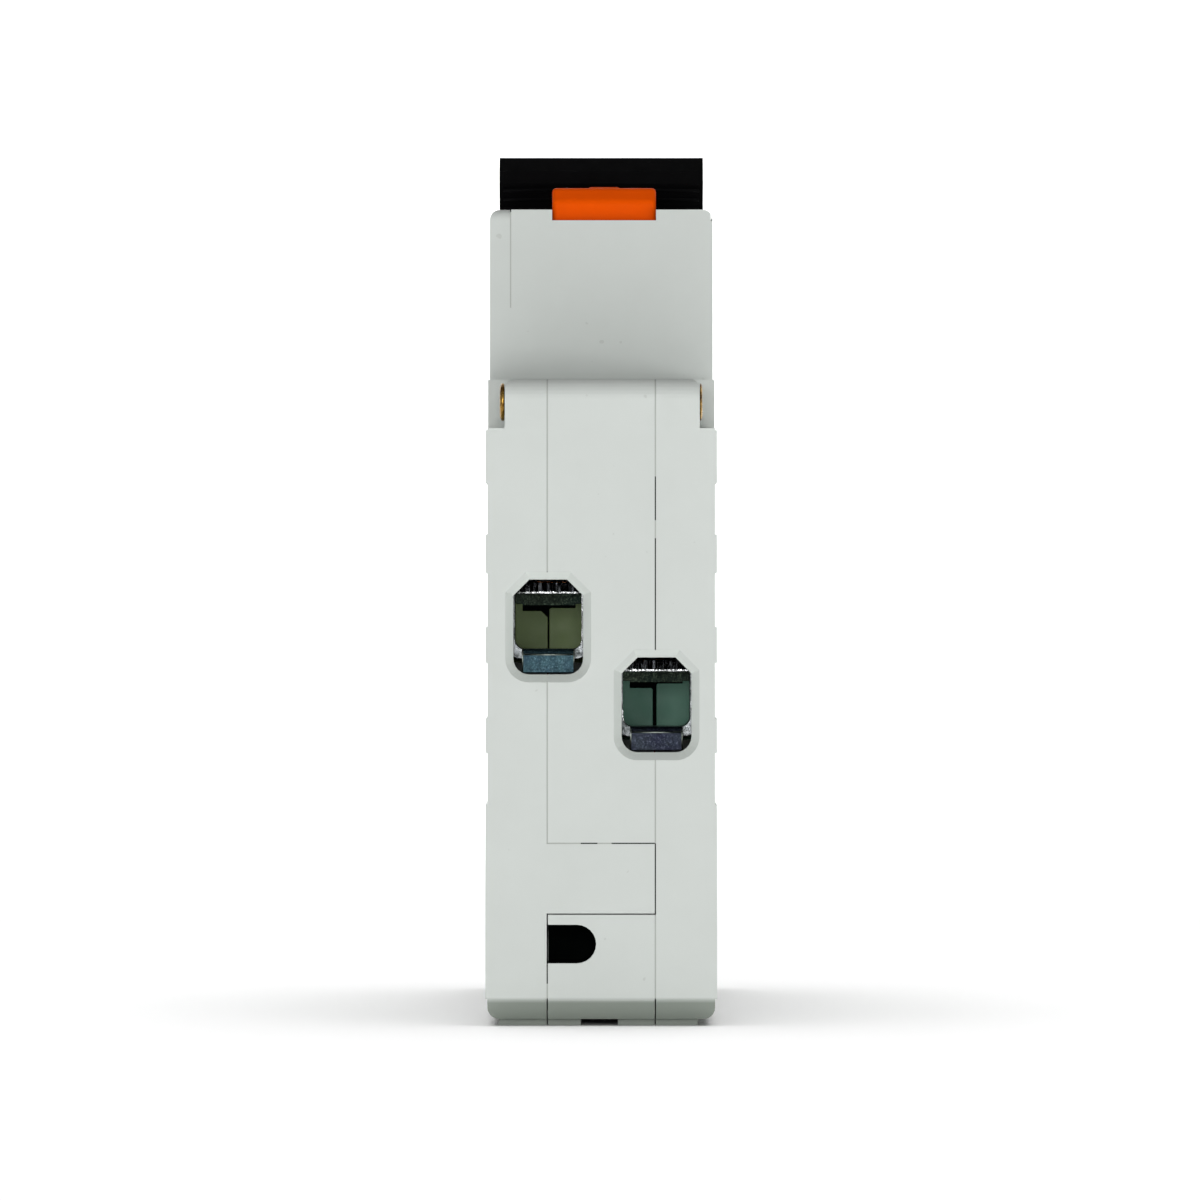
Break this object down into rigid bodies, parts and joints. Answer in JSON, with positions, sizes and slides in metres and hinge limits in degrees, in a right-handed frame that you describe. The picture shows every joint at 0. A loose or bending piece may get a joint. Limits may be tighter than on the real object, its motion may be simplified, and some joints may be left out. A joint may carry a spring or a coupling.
{
  "type": "gfci breaker",
  "caption": "Narrow rail-mounted residual-current breaker with a black toggle, orange test button, staggered cage terminals and a sliding rail clip.",
  "frame": {"origin": "middle of the face that sits on the mounting rail", "axes": "+X across the module, +Y along the device from the load end to the supply end, +Z from the rail to the toggle"},
  "size_m": [0.018, 0.083, 0.0688],
  "materials": {
    "housing": "fine matt moulded",
    "black_plastic": "satin moulded",
    "orange_plastic": "satin moulded",
    "inner_plastic": "matt",
    "brass": "satin",
    "zinc_steel": "zinc plated",
    "steel": "bright",
    "copper": "satin",
    "circuit_laminate": "solder mask",
    "ferrite": "matt coated",
    "blue_insulation": "smooth"
  },
  "bodies": {
    "housing": {"left_cover": "housing", "middle_frame": "housing", "right_cover": "housing", "rivet_load_shoulder": "brass", "rivet_supply_shoulder": "brass", "rivet_load_back": "brass", "rivet_supply_back": "brass", "rivet_load_nose": "brass", "rivet_supply_nose": "brass", "clip_spring": "steel", "load_line_bar": "zinc_steel", "load_neutral_bar": "zinc_steel", "supply_line_bar": "zinc_steel", "supply_neutral_bar": "zinc_steel", "toggle_pin": "steel", "toggle_spring": "steel", "contact_shaft": "steel", "line_fixed_contact": "copper", "neutral_fixed_contact": "copper", "contact_spring": "steel", "contact_braid": "copper", "trip_coil": "copper", "coil_bobbin": "black_plastic", "coil_yoke": "zinc_steel", "load_strip": "copper", "supply_strip": "copper", "trip_pin": "steel", "arc_chute": "zinc_steel", "arc_runner": "copper", "current_transformer": "ferrite", "sensor_lead": "blue_insulation", "circuit_board": "circuit_laminate", "capacitor": "ferrite", "varistor": "blue_insulation", "thyristor": "black_plastic", "test_resistor": "inner_plastic", "test_contact": "brass", "relay_bobbin": "black_plastic", "relay_winding": "copper", "relay_yoke": "zinc_steel", "test_spring": "steel"},
    "toggle": {"toggle_handle": "black_plastic"},
    "link": {"toggle_link": "steel"},
    "latch": {"latch_lever": "steel"},
    "line_arm": {"line_contact_arm": "copper"},
    "neutral_arm": {"neutral_contact_arm": "copper"},
    "trip_bar": {"trip_lever": "inner_plastic"},
    "bimetal": {"bimetal_strip": "copper"},
    "magnetic_plunger": {"coil_plunger": "steel"},
    "residual_plunger": {"relay_plunger": "steel"},
    "button": {"test_button": "orange_plastic"},
    "clip": {"rail_clip": "housing"},
    "load_line_screw": {"load_line_screw": "steel"},
    "load_neutral_screw": {"load_neutral_screw": "steel"},
    "supply_line_screw": {"supply_line_screw": "steel"},
    "supply_neutral_screw": {"supply_neutral_screw": "steel"},
    "load_line_cage": {"load_line_cage": "zinc_steel"},
    "load_neutral_cage": {"load_neutral_cage": "zinc_steel"},
    "supply_line_cage": {"supply_line_cage": "zinc_steel"},
    "supply_neutral_cage": {"supply_neutral_cage": "zinc_steel"}
  },
  "joints": [
    {"name": "toggle_turn", "type": "hinge", "parent": "housing", "child": "toggle", "pos_m": [0, 0, 0.051], "axis": [-1, 0, 0], "range_deg": [0, 80]},
    {"name": "link_swing", "type": "hinge", "parent": "toggle", "child": "link", "pos_m": [0, 0.00289, 0.04755], "axis": [1, 0, 0], "range_deg": [0, 103]},
    {"name": "latch_swing", "type": "hinge", "parent": "housing", "child": "latch", "pos_m": [0, -0.001, 0.029], "axis": [1, 0, 0], "range_deg": [0, 13]},
    {"name": "line_arm_swing", "type": "hinge", "parent": "housing", "child": "line_arm", "pos_m": [0, -0.001, 0.029], "axis": [1, 0, 0], "range_deg": [0, 22.1], "deforming": ["contact_braid"]},
    {"name": "neutral_arm_swing", "type": "hinge", "parent": "housing", "child": "neutral_arm", "pos_m": [0, -0.001, 0.029], "axis": [1, 0, 0], "range_deg": [0, 22.1]},
    {"name": "trip_bar_swing", "type": "hinge", "parent": "housing", "child": "trip_bar", "pos_m": [0, -0.008, 0.035], "axis": [-1, 0, 0], "range_deg": [0, 8], "stiffness_Nm_per_rad": 0.002},
    {"name": "bimetal_bend", "type": "hinge", "parent": "housing", "child": "bimetal", "pos_m": [0, -0.02015, 0.011], "axis": [-1, 0, 0], "range_deg": [0, 2.5], "stiffness_Nm_per_rad": 0.05},
    {"name": "magnetic_plunger_slide", "type": "slide", "parent": "housing", "child": "magnetic_plunger", "axis": [0, -1, 0], "range_m": [0, 0.0025], "stiffness_N_per_m": 100},
    {"name": "residual_plunger_slide", "type": "slide", "parent": "housing", "child": "residual_plunger", "axis": [0, -1, 0], "range_m": [0, 0.0024], "stiffness_N_per_m": 100},
    {"name": "test_button_press", "type": "slide", "parent": "housing", "child": "button", "axis": [0, 0, -1], "range_m": [0, 0.0012], "stiffness_N_per_m": 300, "deforming": ["test_spring"]},
    {"name": "rail_clip_slide", "type": "slide", "parent": "housing", "child": "clip", "axis": [0, -1, 0], "range_m": [0, 0.004], "stiffness_N_per_m": 500, "deforming": ["clip_spring"]},
    {"name": "load_line_screw_turn", "type": "hinge", "parent": "housing", "child": "load_line_screw", "pos_m": [-0.00413, -0.035, 0.035], "axis": [0, 0, -1], "range_deg": [0, 1800]},
    {"name": "load_neutral_screw_turn", "type": "hinge", "parent": "housing", "child": "load_neutral_screw", "pos_m": [0.0043, -0.035, 0.029], "axis": [0, 0, -1], "range_deg": [0, 1800]},
    {"name": "supply_line_screw_turn", "type": "hinge", "parent": "housing", "child": "supply_line_screw", "pos_m": [-0.00413, 0.035, 0.035], "axis": [0, 0, -1], "range_deg": [0, 1800]},
    {"name": "supply_neutral_screw_turn", "type": "hinge", "parent": "housing", "child": "supply_neutral_screw", "pos_m": [0.0043, 0.035, 0.029], "axis": [0, 0, -1], "range_deg": [0, 1800]},
    {"name": "load_line_cage_lift", "type": "slide", "parent": "housing", "child": "load_line_cage", "axis": [0, 0, 1], "range_m": [0, 0.004]},
    {"name": "load_neutral_cage_lift", "type": "slide", "parent": "housing", "child": "load_neutral_cage", "axis": [0, 0, 1], "range_m": [0, 0.004]},
    {"name": "supply_line_cage_lift", "type": "slide", "parent": "housing", "child": "supply_line_cage", "axis": [0, 0, 1], "range_m": [0, 0.004]},
    {"name": "supply_neutral_cage_lift", "type": "slide", "parent": "housing", "child": "supply_neutral_cage", "axis": [0, 0, 1], "range_m": [0, 0.004]}
  ],
  "couplings": [
    {"joint": "link_swing", "follows": "toggle_turn", "ratio": 1.28},
    {"joint": "latch_swing", "follows": "toggle_turn", "ratio": 0.1575},
    {"joint": "line_arm_swing", "follows": "toggle_turn", "ratio": 0.275},
    {"joint": "neutral_arm_swing", "follows": "toggle_turn", "ratio": 0.275},
    {"joint": "load_line_screw_turn", "follows": "load_line_cage_lift", "rad_per_m": 7854},
    {"joint": "load_neutral_screw_turn", "follows": "load_neutral_cage_lift", "rad_per_m": 7854},
    {"joint": "supply_line_screw_turn", "follows": "supply_line_cage_lift", "rad_per_m": 7854},
    {"joint": "supply_neutral_screw_turn", "follows": "supply_neutral_cage_lift", "rad_per_m": 7854}
  ]
}
